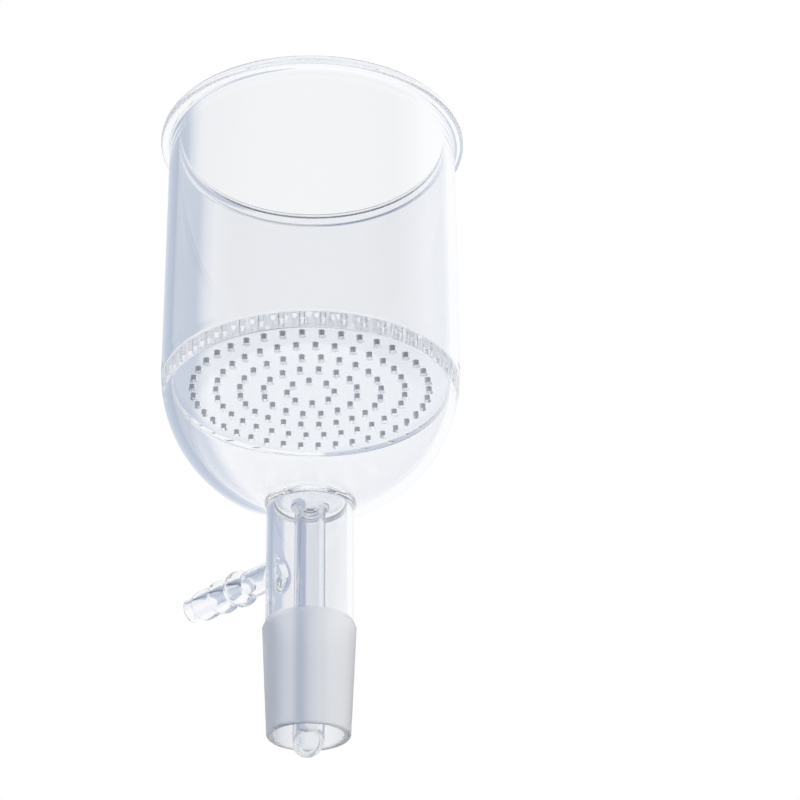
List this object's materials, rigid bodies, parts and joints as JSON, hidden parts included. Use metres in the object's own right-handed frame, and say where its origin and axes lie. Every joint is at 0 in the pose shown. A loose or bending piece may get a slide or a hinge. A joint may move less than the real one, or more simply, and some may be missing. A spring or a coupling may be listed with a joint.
{
  "type": "buchner funnel",
  "caption": "Glass filter funnel with a fused perforated plate, a ground cone with an inner drip tube, and a barbed side arm for vacuum.",
  "frame": {"origin": "centre of the ground cone's wide end, its gauge plane", "axes": "+Z along the axis towards the mouth, +X towards the side arm"},
  "size_m": [0.085, 0.085, 0.1818],
  "materials": {
    "borosilicate_glass": "clear and fire-polished, frosted on the ground cone"
  },
  "bodies": {
    "root": {"funnel": "borosilicate_glass"}
  },
  "joints": []
}
